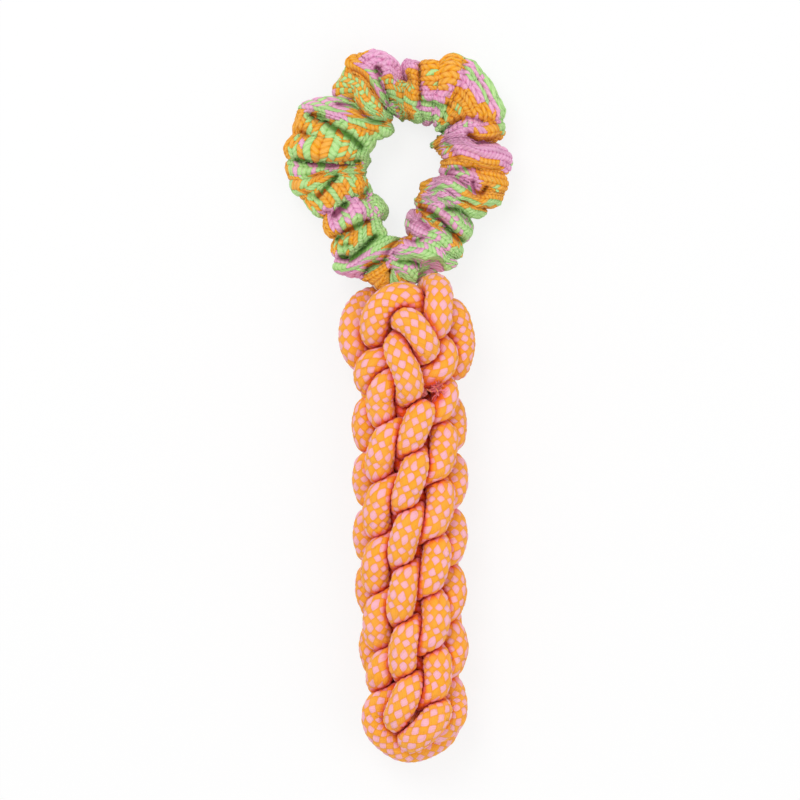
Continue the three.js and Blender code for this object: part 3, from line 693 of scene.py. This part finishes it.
PAINT = [  # yarns and width of painted runs, later rows over earlier ones
    ("O", 14, "425,63 457,79; 448,71 458,62"),
    ("P", 10, "368,65 380,62; 472,173 474,182 479,191"),
    ("G", 4, "424,68 434,71"),
    ("O", 12, "413,72 415,85 416,98"),
    ("O", 17, "374,269 383,270"),
    ("P", 12, "414,227 424,231"),
    ("P", 4, "425,123 435,124"),
    ("x", 4, "455,102 460,115"),
    ("O", 9, "335,88 367,48 382,47; 299,119 302,130; 466,91 479,115; 424,211 442,232; 322,196 330,203"),
    ("P", 13, "364,70 364,62 373,55 392,55; 382,65 399,71 400,79"),
    ("x", 24, "346,80 364,97"),
    ("O", 8, "424,82 433,88 439,89 452,83; 437,159 447,165; 432,176 423,184 420,195 421,204; 359,165 "
             "362,174 356,190"),
    ("y", 10, "451,171 464,174"),
    ("G", 6, "370,69 373,73; 433,135 432,144; 366,165 366,179; 367,271 378,264"),
    ("O", 6, "439,136 436,147 440,157; 284,160 286,171; 367,182 362,196; 366,221 370,238; 336,247 336,255"),
    ("G", 14, "353,259 378,239 392,236"),
    ("P", 6, "371,75 374,80; 334,94 335,102; 507,160 506,169; 345,197 355,204 367,218; 361,255 373,253 "
             "385,255"),
    ("P", 8, "423,87 439,100; 425,197 431,190 451,182; 313,166 315,171; 336,218 336,232"),
    ("G", 8, "321,165 323,172; 337,199 355,215; 342,250 349,248"),
    ("G", 9, "422,102 442,109; 291,162 293,171; 304,163 307,171"),
    ("P", 7, "440,91 451,91 459,86 463,76; 419,106 428,111 440,112; 436,176 449,177 461,183; 295,166 "
             "295,175"),
    ("G", 7, "375,82 378,88; 419,114 428,118 437,117; 343,216 342,228"),
    ("O", 9, "358,73 366,82 375,100; 457,92 469,115; 291,177 312,193"),
    ("x", 16, "355,86 365,100 376,110"),
    ("G", 10, "370,104 374,111"),
    ("O", 6, "379,109 382,113 375,117; 330,236 338,233"),
    ("x", 10, "342,238 347,233"),
    ("P", 9, "463,73 487,103; 414,208 417,216; 333,257 344,263 364,265"),
    ("G", 5, "443,106 443,115 446,124; 431,216 432,220"),
    ("G", 6, "467,68 478,81 490,100; 434,191 444,187 456,187 468,190"),
    ("P", 8, "468,61 481,76 497,107 499,122; 349,210 351,223"),
    ("O", 10, "449,103 451,115 454,121; 484,106 490,112 490,118; 504,178 503,191"),
    ("P", 11, "481,124 472,122 460,127 452,132"),
    ("y", 4, "463,127 472,125"),
    ("G", 8, "303,177 311,185 320,188; 336,265 347,269 361,270"),
    ("P", 9, "342,276 359,275"),
    ("O", 11, "472,137 493,137; 314,177 322,177 330,179"),
    ("P", 14, "452,132 467,144 482,148 499,150; 447,148 505,162"),
    ("O", 26, "490,174 494,186"),
    ("x", 5, "446,59 456,56 466,56; 486,179 498,189"),
    ("x", 6, "445,144 451,153"),
    ("O", 7, "302,137 294,144; 303,194 311,203 319,210"),
    ("O", 9, "453,159 476,164 494,162; 351,229 357,240"),
    ("G", 9, "330,185 337,179; 360,227 362,240"),
    ("O", 11, "334,186 342,193"),
    ("P", 5, "300,142 297,147; 328,167 337,165"),
    ("P", 7, "378,90 382,95; 436,198 444,193 454,192 464,194"),
    ("G", 7, "382,97 387,103; 440,201 461,199; 311,196 319,204"),
    ("y", 12, "308,107 319,102 329,103; 428,200 450,225"),
    ("G", 5, "447,227 452,245"),
    ("P", 6, "310,105 308,110; 444,205 460,204; 323,212 334,210"),
    ("O", 5, "409,236 417,238; 325,216 326,223"),
    ("y", 26, "405,253 422,247 438,241"),
    ("P", 5, "434,199 449,221; 432,257 449,249"),
    ("G", 16, "372,191 379,203 381,220"),
    ("y", 7, "368,193 371,205 380,215"),
    ("G", 6, "473,59 488,76 504,112 503,130"),
    ("G", 7, "307,115 312,126 313,139"),
    ("G", 9, "319,114 340,109 355,107"),
    ("P", 7, "387,106 391,111; 329,115 352,118"),
    ("O", 10, "355,113 362,115; 468,194 481,199 495,197 505,194"),
    ("G", 12, "390,112 387,119 373,123"),
    ("G", 6, "470,199 483,204 495,204 505,200"),
    ("G", 8, "335,124 350,123 369,123"),
    ("O", 7, "349,129 376,130 391,121; 461,205 485,209 498,208"),
    ("G", 16, "454,211 461,221 470,232"),
    ("G", 9, "350,133 362,138 373,140 389,130 395,124; 468,212 487,216"),
    ("y", 5, "442,96 448,97; 453,211 455,223 461,233; 465,216 470,232"),
    ("G", 9, "471,233 455,247"),
    ("O", 7, "454,236 458,242 453,247"),
    ("G", 9, "425,260 442,259 458,252"),
    ("y", 14, "400,271 429,267"),
    ("G", 8, "405,278 420,276"),
    ("O", 5, "395,242 405,240; 398,278 403,281"),
    ("P", 6, "334,105 347,106; 395,247 405,244 419,243 428,232"),
    ("G", 6, "395,252 424,244 436,233"),
    ("O", 5, "400,240 392,248 386,257"),
    ("P", 6, "400,247 391,255 389,266"),
    ("P", 7, "400,257 415,253 441,238"),
    ("G", 8, "403,259 422,255 438,246 448,238"),
    ("O", 8, "314,121 320,129 319,143 314,157"),
    ("G", 7, "323,124 325,137"),
    ("x", 8, "329,128 327,157; 401,107 404,115"),
    ("G", 12, "335,128 335,157"),
    ("x", 12, "343,133 347,144 343,157; 400,85 407,88"),
    ("O", 8, "400,94 416,97; 410,107 411,115"),
    ("G", 12, "350,136 358,146"),
    ("G", 6, "400,100 408,100 416,106"),
    ("O", 9, "342,166 348,177 347,188"),
    ("G", 8, "350,166 353,177"),
]
CREASES = [  # depth and half width in mm of the deep creases, each with the upper fold on its left
    (5, 1.6, "379,68 381,72"),
    (3, 1.2, "380,80 387,95 393,112; 481,121 475,119 467,118 457,121 448,127; 447,170 459,168 472,167 "
             "479,168; 421,204 421,221 429,228"),
    (3.2, 1.2, "338,103 350,104 358,107 365,115 373,120 383,121; 475,192 470,190 459,180 447,174"),
    (4.5, 1.5, "313,114 325,119 335,127 346,132 354,138 361,145"),
    (3, 1.8, "302,131 306,133"),
    (2.2, 1, "386,107 379,100 373,89 369,82 362,74 355,70 346,71; 396,66 400,74; 444,128 445,136 449,144 "
             "458,157; 319,197 311,195 303,191; 321,211 334,212"),
    (1.3, 0.8, "361,65 366,59 376,58 387,60 396,71"),
    (2.6, 1.1, "420,65 420,77 422,91 419,107; 422,100 434,102 442,106 448,104 452,97"),
    (1.2, 0.9, "422,82 433,91 442,92 452,86"),
    (2, 1, "442,122 446,111 452,100 460,88 463,75 464,65; 483,123 490,120 499,125"),
    (1, 0.8, "469,70 481,83 490,100 496,115"),
    (4.6, 1.4, "504,136 493,142 478,143 469,136; 420,207 430,210 442,221 453,232 464,241; 342,256 351,258 "
               "359,252 366,244 374,236"),
    (1.6, 1, "479,168 499,168 505,162"),
    (3.6, 1.2, "474,182 475,191 481,193 485,187"),
    (4, 1.3, "447,208 459,209 466,215 472,221"),
    (3, 1.1, "408,238 415,241 421,238; 360,199 364,193 368,187; 400,238 391,247 385,259"),
    (2.5, 1, "409,220 420,223"),
    (3.6, 1.3, "400,261 413,262 421,265 432,266"),
    (4.2, 1.4, "298,158 313,162 330,164 347,162 358,160"),
    (4.2, 1.3, "337,177 327,189 319,197; 337,238 344,231 356,225 366,220; 364,274 368,266 376,262 385,260"),
    (2, 1.1, "308,175 319,174 337,172"),
    (5, 1.7, "334,213 344,204"),
    (1.3, 0.9, "346,197 356,204 364,216"),
    (2.6, 1.2, "341,245 349,244"),
]
YARNS = {"O": srgb(1.0, 0.70, 0.03), "G": srgb(0.75, 0.93, 0.60), "P": srgb(0.98, 0.71, 0.87)}
PAIRS = {"x": "OG", "y": "PG"}
WALE = 2.4  # mm from one column of stitches to the next
STITCH = 2.0  # mm from one stitch to the next in its column
SLANT = 0.8  # share of a stitch that its two legs lean by
PER_WALE = 5  # points across each column of stitches
SLEEVE_AROUND = 180  # points round the fabric tube
FOLD_APART, FIRST_COLUMN = 40, 20  # columns of stitches that keep the folds' stitch numbers apart
CREST_STEPS = 60
LAST_ROWS = 40  # rows at either end that run smoothly into the other end, under the lashing
PIVOT = np.array([-2.62, 50.544, 22.0]) - SHIFT  # where the ring's two hinges cross
# Degrees of sway and swing, at rest and at the joints' limits
RING_POSES = ((0, 0), (-5, -12), (5, 28), (5, -12), (-5, 28), (0, -12), (0, 28))
NECK_TOP = 66 - SHIFT[1]  # nothing above this height comes near a cord
HEAD_BOTTOM = 22  # height above which cords come near the ring
RING_GAP = 0.6
COLUMNS = np.arange(SLEEVE_AROUND)
PUFFS = ((10, 6, 3, 0.6), (4, 2.6, 5, 0.24))  # rows and points that noise is smoothed over, its seed and mm
STRAY, WARP = 0.9, 0.3  # mm that the folds and the lines of stitches stray
CUSHION, CUSHION_MIDDLE = 0.62, 0.55  # mm that a stitch stands out, and the share of it that lies inside
LOWEST = 0.15  # mm above the floor
DARK_CREASE = 3.5  # mm of depth at which the painted shade in a crease is darkest
PAINTED_FROM = -0.25  # how far a face may look down and still be painted
STITCHES_APART = 4096  # more than the stitches in any column


def share_across(column):
    """Share of the way from the band's outer edge to its inner one, at places round the tube"""
    return (1 - np.cos(column / SLEEVE_AROUND * 2 * np.pi)) / 2


def soft_noise(rows, along, around, seed):
    """Smooth noise over a grid that closes on itself sideways"""
    grid = blur_tube(np.random.default_rng(seed).standard_normal((rows, SLEEVE_AROUND)), along, around)
    return grid / grid.std()


def picture_run(text):
    return np.array([[float(v) for v in p.split(",")] for p in text.split()])


def in_mm(places):
    """Places on the plait's own axes, from places in the photograph"""
    return (np.array(places) - AXIS_PIXEL) * (PIXEL, -PIXEL)


def in_picture(points):
    return (points[..., :2] / (PIXEL, -PIXEL) + AXIS_PIXEL).reshape(-1, 2)


def from_run(places, run):
    """Distance from each place to a run of straight lines, and the side it lies on"""
    best, side = np.full(len(places), FAR), np.zeros(len(places))
    points = picture_run(run)
    for a, b in zip(points, points[1:]):
        ab = b - a
        t = np.clip(((places - a) @ ab) / (ab @ ab), 0, 1)
        off = places - a - t[:, None] * ab
        far = np.linalg.norm(off, axis=1)
        turned_by = (ab[0] * off[:, 1] - ab[1] * off[:, 0]) / np.linalg.norm(ab) / np.maximum(far, 1e-9)
        side = np.where(far < best, turned_by, side)
        best = np.minimum(far, best)
    return best, side


def stitch_at(x, y):
    """Column and number of the stitch at a place of the fabric, and the place within it"""
    wale = np.floor(x)
    inside = x - wale - 0.5
    run = y / STITCH + inside * (wale % 2 * 2 - 1) * SLANT
    return wale, np.floor(run), run - np.floor(run) - 0.5, inside


def ring_turn(sway, swing):
    """How the ring's two joints turn it about its pivot"""
    a, b = math.radians(sway), math.radians(swing)
    about_z = np.array([[math.cos(a), -math.sin(a), 0], [math.sin(a), math.cos(a), 0], [0, 0, 1]])
    about_x = np.array([[1, 0, 0], [0, math.cos(b), -math.sin(b)], [0, math.sin(b), math.cos(b)]])
    return about_z @ about_x


def clear_of_cords(rows):
    """Press the fabric in where a cord would touch it at rest or at the limits of the joints"""
    places = rows.reshape(-1, 3).copy()
    close = np.where(places[:, 1] < NECK_TOP)[0]
    cord = np.concatenate([line[::2, :3] for line, _ in lines[:2]])
    cord = cord[cord[:, 1] > HEAD_BOTTOM]
    for sway, swing in RING_POSES * 3:
        turn = ring_turn(sway, swing)
        here = (places[close] - PIVOT) @ turn.T + PIVOT
        for first in range(0, len(here), 4000):
            part = here[first:first + 4000]
            gap = part[:, None, :] - cord[None, :, :]
            far = np.sqrt((gap ** 2).sum(2))
            nearest = (np.arange(len(part)), far.argmin(1))
            push = np.maximum(0, CORD_RADIUS + RING_GAP - far[nearest]) / np.maximum(far[nearest], 1e-6)
            part += gap[nearest] * push[:, None]
        places[close] = (here - PIVOT) @ turn + PIVOT
    return places.reshape(rows.shape)


def crest_at(run, share):
    """Places along a fold's crest, at shares of its length"""
    line, _ = curve_through(in_mm(picture_run(run)), count=CREST_STEPS)
    return points_at(share * CREST_STEPS, np.arange(CREST_STEPS + 1), line)


def fold_crest(run, middle, half, rise):
    """The closed line of points round the band at a fold's crest, and the middle of the band there"""
    sine = np.sin(COLUMNS / SLEEVE_AROUND * 2 * np.pi)
    bulge = np.sign(sine) * np.abs(sine) ** 0.85
    z = middle + (half + rise * (bulge > 0)) * bulge
    return np.c_[crest_at(run, share_across(COLUMNS)), z], np.r_[crest_at(run, np.array([0.5]))[0], middle]


def folded_rows():
    """Rows of points over the crests and through the valleys, each row's fold, and how many columns of
    stitches it lies from that fold's crest"""
    crests = [fold_crest(*fold[:4]) for fold in FOLDS]
    w = share_across(COLUMNS)
    rows, folds, across = [], [], []
    for k, (*_, valley, (outer, middle, inner), _, _) in enumerate(FOLDS[:-1]):
        (here, mid_here), (there, mid_there) = crests[k:k + 2]
        depths = np.interp(w, [0, 0.12, 0.5, 0.88, 1], [outer, outer, middle, inner, inner])
        depth = max(0.7 * max(outer, middle, inner), middle)
        span = np.linalg.norm(there - here, axis=1)[SLEEVE_AROUND // 4]
        for side, part in ((0, valley), (1, 1 - valley)):
            arc = math.hypot(span * part, depth) * 1.12
            count = max(2, round(arc / WALE * PER_WALE))
            for j in np.arange(count) if side == 0 else np.arange(count, 0, -1):
                phi = j / count * np.pi / 2
                t = abs(side - part * math.sin(phi))
                base = here * (1 - t) + there * t
                inward = mid_here * (1 - t) + mid_there * t - base
                far = np.linalg.norm(inward, axis=1)
                drop = np.minimum(depths * (1 - math.cos(phi)), far * 0.72)
                rows.append(base + inward / far[:, None] * drop[:, None])
                folds.append(k + side)
                across.append(j / PER_WALE * (1 - 2 * side))
    rows.append(crests[-1][0])
    return np.array(rows), np.array(folds + [len(FOLDS) - 1]), np.array(across + [0.0])


def outward(rows):
    """Directions square to the fabric and out of the tube"""
    normal = np.cross(np.roll(rows, -1, 1) - np.roll(rows, 1, 1), np.gradient(rows, axis=0))
    normal /= np.maximum(np.linalg.norm(normal, axis=2, keepdims=True), 1e-9)
    return normal * np.sign(((rows - rows.mean(axis=1, keepdims=True)) * normal).sum())


def creased(rows, upward):
    """Depth of the gathers' deep creases, and the fabric's lift beside them, as they lie on top"""
    places = in_picture(rows)
    sunk, lifted = np.zeros(len(places)), np.zeros(len(places))
    for deep, half_width, runs in CREASES:
        for run in runs.split("; "):
            off, side = from_run(places, run)
            off *= PIXEL / half_width
            side = np.clip(side * 1.5, -1, 1)
            steep = 1 + 0.48 * side  # narrow under the upper fold, wide on the lower one
            sunk = np.maximum(sunk, deep * np.exp(-(off / steep) ** 2))
            lifted = np.maximum(lifted, deep * (0.28 - 0.2 * side) * np.exp(-((off - 2.2) / 1.4) ** 2))
    lifted = np.where(sunk > 0.2 * lifted, lifted * 0.5, lifted)
    return sunk.reshape(upward.shape) * upward, lifted.reshape(upward.shape) * upward


def yarn_pair(name):
    return [YARNS[letter] for letter in PAIRS.get(name, name * 2)]


def chosen(items, shares):
    """The item at each share of the way through a list"""
    return [items[min(int(share * len(items)), len(items) - 1)] for share in shares]


def yarns_round(fold, start, end):
    """Yarns of one row of faces, by the fold's layout, between two places across its columns of stitches"""
    kind, names = FOLDS[fold][6], FOLDS[fold][7].split("|")
    if kind == "w":
        return chosen(names[0], share_across((COLUMNS // PER_WALE + 0.5) * PER_WALE))
    odd = len(names[0]) % 2
    wale = math.floor((start + end) / 2 + odd / 2)
    return [name[int(np.clip(wale + (len(name) - odd) // 2, 0, len(name) - 1))]
            for name in chosen(names, share_across(COLUMNS + 0.5))]


def fabric_places(folds, across, round_y, warp):
    """Where rows of points lie on the fabric, whose columns of stitches run along or across a crest"""
    crosswise = np.array([FOLDS[f][6] == "w" for f in folds])[:, None]
    odd = np.array([len(FOLDS[f][7].split("|")[0]) % 2 / 2 for f in folds])
    x = np.where(crosswise, np.arange(SLEEVE_AROUND + 1) / PER_WALE, (across + odd)[:, None])
    y = np.where(crosswise, (across[:, None] + FIRST_COLUMN) * WALE + warp, round_y)
    return x, y


def paint(tint, rows, places, facing_up):
    """Lay the painted runs over the yarns that are seen from above, whole stitches at a time"""
    middle = (rows[:-1] + rows[1:]) / 2
    seen = in_picture((middle + np.roll(middle, -1, 1)) / 2)
    wale, index, _, _ = stitch_at(*places.mean(2).reshape(-1, 2).T)
    _, same, count = np.unique(wale * STITCHES_APART + index, return_inverse=True, return_counts=True)
    seen = np.stack([np.bincount(same, along) / count for along in seen.T], 1)[same]
    for name, width, runs in PAINT:
        for run in runs.split("; "):
            tint[facing_up & (from_run(seen, run)[0] < width / 2)] = yarn_pair(name)


def sleeve_mesh():
    """The gathered tube with its folds, puffs, stitches and creases, and its yarns' colours"""
    rows, folds, across = folded_rows()
    n = len(rows)
    live = np.interp(np.arange(n), [0, LAST_ROWS, n - 1 - LAST_ROWS, n - 1], [0, 1, 1, 0])[:, None]
    normal = outward(rows)
    puff = sum(soft_noise(n, *grain) * high for *grain, high in PUFFS)
    rows = rows + normal * (puff * live)[:, :, None]
    strays = np.stack([soft_noise(n, 14, 9, seed) for seed in (11, 12)], 2) * STRAY
    rows[:, :, :2] += strays * live[:, :, None]
    warp = soft_noise(n, 7, 5, 31) * WARP
    warp = np.c_[warp, warp[:, 0]]
    steps = np.linalg.norm(np.roll(rows, -1, 1) - rows, axis=2)
    round_y = np.c_[np.zeros(n), np.cumsum(steps, axis=1)] + warp
    x, y = fabric_places(folds, across, round_y, warp)
    _, _, place, inside = stitch_at(x[:, :-1], y[:, :-1])
    cushion = np.sqrt(np.clip((1 - np.abs(2 * place) ** 2.2) * (1 - np.abs(2 * inside) ** 2.6), 0, 1))
    rows = rows + normal * ((cushion - CUSHION_MIDDLE) * CUSHION * live)[:, :, None]
    sunk, lifted = creased(rows, np.clip(normal[:, :, 2] * 1.6 + 0.2, 0, 1) ** 1.5 * live)
    rows[:, :, 2] += lifted - sunk
    rows = clear_of_cords(rows)
    rows[:, :, 2] = np.maximum(rows[:, :, 2], LOWEST)
    places, tint = [], []
    for i, fold in enumerate(folds[:-1]):
        start = across[i]
        end = across[i + 1] if folds[i + 1] == fold else start + 1 / PER_WALE
        x, y = fabric_places([fold, fold], np.array([start, end]), round_y[i:i + 2], warp[i:i + 2])
        places.append(corner_places(x + fold * FOLD_APART, y)[0])
        tint.append([yarn_pair(name) for name in yarns_round(fold, start, end)])
    places, tint = np.array(places), np.array(tint).reshape(-1, 2, 4)
    paint(tint, rows, places, (normal[:-1, :, 2] > PAINTED_FROM).ravel())
    piece = make_piece("gathered_sleeve", rows, *tube_faces(*rows.shape[:2], caps=False))
    set_cloth(piece, places)
    # crease depth, for the material's painted shade in the deep creases
    set_values(piece, "sunk", np.clip(sunk / DARK_CREASE, 0, 1))
    for index, name in enumerate(("yarn_a", "yarn_b")):
        layer = piece.data.color_attributes.new(name=name, type="FLOAT_COLOR", domain="CORNER")
        layer.data.foreach_set("color", np.repeat(tint[:, index], 4, axis=0).astype(np.float32).ravel())
    return piece, rows


def sleeve_material():
    """Knitted fabric: slanted stitches in columns, two yarns by turns where the colours differ, with painted
    highlights and painted shade
    """
    n = Nodes("gathered_fabric", rough=0.85, sheen=0.1)
    x, y = n.uv()
    at = n.place()
    wale = x.math("FLOOR")
    inside = x - wale - 0.5
    run = y / STITCH + inside * (wale % 2 * 2 - 1) * SLANT
    index = run.math("FLOOR")
    place = run - index - 0.5
    chance = n.random(index, wale, 3)
    odd = (index + wale) % 2
    other = odd.math("GREATER_THAN", 0.5) * chance.math("LESS_THAN", 0.9)
    colour = n.mix(other, n.attribute("yarn_a", out=0), n.attribute("yarn_b", out=0))
    groove = abs(place * 2) ** 2.6 + abs(inside * 2) ** 3.4
    warp = (n.noise(at, 500, 1) - 0.5) * 0.3
    strands = abs(((place + warp) * (math.pi * 3)).math("SINE"))
    fibre = n.noise(at, 1500, 3, 0.6)
    # pale: a paler colour, for random tone and for a painted highlight
    pale = n.mix(0.22, colour, (1.0, 0.92, 0.75, 1.0))
    colour = n.mix(n.ramp(chance, 0, 1, 0, 0.35), colour, pale)
    # painted highlight: paler towards each stitch's raised middle
    colour = n.mix(n.ramp(groove, 0, 0.6, 0.4, 0), colour, pale)
    # deep: the colour squared and darkened, for painted shade and for fibre flecks
    deep = n.times(n.times(colour, colour), srgb(0.87, 0.87, 0.87))
    # painted shade between the strands of each stitch
    colour = n.mix(n.ramp(strands, 0, 0.5, 0.3, 0), colour, deep)
    colour = n.mix(n.ramp(fibre, 0.4, 0.75, 0, 0.25), colour, deep)
    # painted shade: darker in the grooves between stitches
    colour = n.mix(n.ramp(groove, 0.55, 1.5, 0, 0.85), colour, deep)
    # painted shade in the deep creases
    crease_shade = n.times(deep, srgb(0.80, 0.78, 0.76))
    colour = n.mix(n.ramp(n.attribute("sunk"), 0.35, 1), colour, crease_shade)
    return n.finish(colour, n.bump(strands * 0.35 + fibre * 0.4 - groove, 0.7, 0.0006))


sleeve, sleeve_rows = sleeve_mesh()
sleeve.data.materials.append(sleeve_material())
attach(sleeve, "ring")
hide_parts("ring_sleeve")
wide = np.linalg.norm(np.roll(sleeve_rows, -1, 1) - sleeve_rows, axis=2).sum(1).mean() / 2
long = np.linalg.norm(np.diff(sleeve_rows, axis=0), axis=2).sum(0).mean()
print(f"sleeve: {len(sleeve_rows)} rows, flat {long:.0f} x {wide:.0f} mm")

# Floor, light and camera, in metres
FRAME_WIDTH = PHOTO_SIZE * PIXEL * MM
FRAME_CENTRE = (in_mm([PHOTO_SIZE / 2, PHOTO_SIZE / 2]) + SHIFT[:2]) * MM
CAMERA_ABOVE, TOY_MIDDLE = 2.6, 0.025
SENSOR = 36
WORLD = 0.72
FLOOR_SIZE, FLOOR_DROP = 4, 0.0004  # the drop keeps the floor just under the toy
LAMP_AIM = (0, 0, 0.02)
WHITE_SHARE = 0.8  # of the floor's look to the camera
LAMPS = [  # name, place, size and power
    ("key", (-0.5, 0.7, 1.6), 0.9, 10.5),
    ("fill", (0.9, -0.3, 1.4), 1.2, 4.5),
]


def floor_material():
    """Pale ground that shines a little where the camera sees it, so that it comes out white"""
    n = Nodes("floor")
    share = n.add("ShaderNodeLightPath", out="Is Camera Ray") * WHITE_SHARE
    diffuse = n.add("ShaderNodeBsdfDiffuse", {"Color": (0.9, 0.9, 0.9, 1)})
    white = n.add("ShaderNodeEmission", {"Color": (1, 1, 1, 1)})
    blend = n.add("ShaderNodeMixShader", {0: share, 1: diffuse, 2: white})
    n.put(n.tree.nodes["Material Output"].inputs["Surface"], blend)
    return n.mat


def stage():
    scene = bpy.context.scene
    bpy.ops.mesh.primitive_plane_add(size=FLOOR_SIZE, location=(0, 0, -FLOOR_DROP))
    floor = bpy.context.object
    floor.name = "floor"
    floor.data.materials.append(floor_material())
    scene.world = bpy.data.worlds.new("studio")
    scene.world.use_nodes = True
    background = scene.world.node_tree.nodes["Background"]
    background.inputs["Color"].default_value = (1, 1, 1, 1)
    background.inputs["Strength"].default_value = WORLD
    for name, at, size, power in LAMPS:
        data = bpy.data.lights.new(name, "AREA")
        data.shape, data.size, data.energy = "DISK", size, power
        lamp = bpy.data.objects.new(name, data)
        lamp.location = at
        lamp.rotation_euler = (Vector(LAMP_AIM) - Vector(at)).to_track_quat("-Z", "Y").to_euler()
        scene.collection.objects.link(lamp)
    data = bpy.data.cameras.new("camera")
    data.sensor_width = SENSOR
    data.lens = SENSOR * CAMERA_ABOVE / FRAME_WIDTH
    data.clip_end = 20
    camera = bpy.data.objects.new("camera", data)
    camera.location = (*FRAME_CENTRE, CAMERA_ABOVE + TOY_MIDDLE)
    scene.collection.objects.link(camera)
    scene.camera = camera
    scene.view_settings.view_transform = "Standard"


stage()
